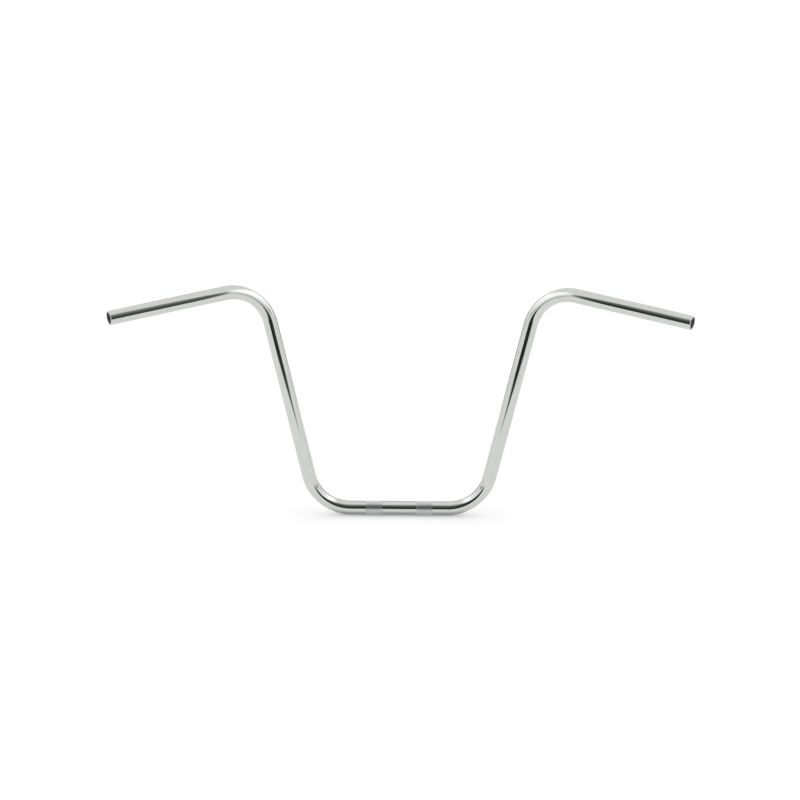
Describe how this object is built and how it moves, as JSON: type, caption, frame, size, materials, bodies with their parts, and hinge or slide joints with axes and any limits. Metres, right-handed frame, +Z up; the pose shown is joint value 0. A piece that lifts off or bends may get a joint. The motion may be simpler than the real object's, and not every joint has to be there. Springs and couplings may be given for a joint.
{
  "type": "ape hanger handlebar",
  "caption": "Tall motorcycle handlebar bent from one chromed steel tube, with knurled clamp bands on its base, leaning uprights and swept-back grip ends.",
  "frame": {"origin": "middle of the base on the tube's axis, halfway between the two knurled clamp bands", "axes": "+X along the base to the rider's right, +Y ahead and away from the rider, +Z up"},
  "size_m": [0.8954, 0.1334, 0.3788],
  "materials": {
    "chrome_plate": "polished"
  },
  "bodies": {
    "root": {"handlebar": "chrome_plate"}
  },
  "joints": []
}
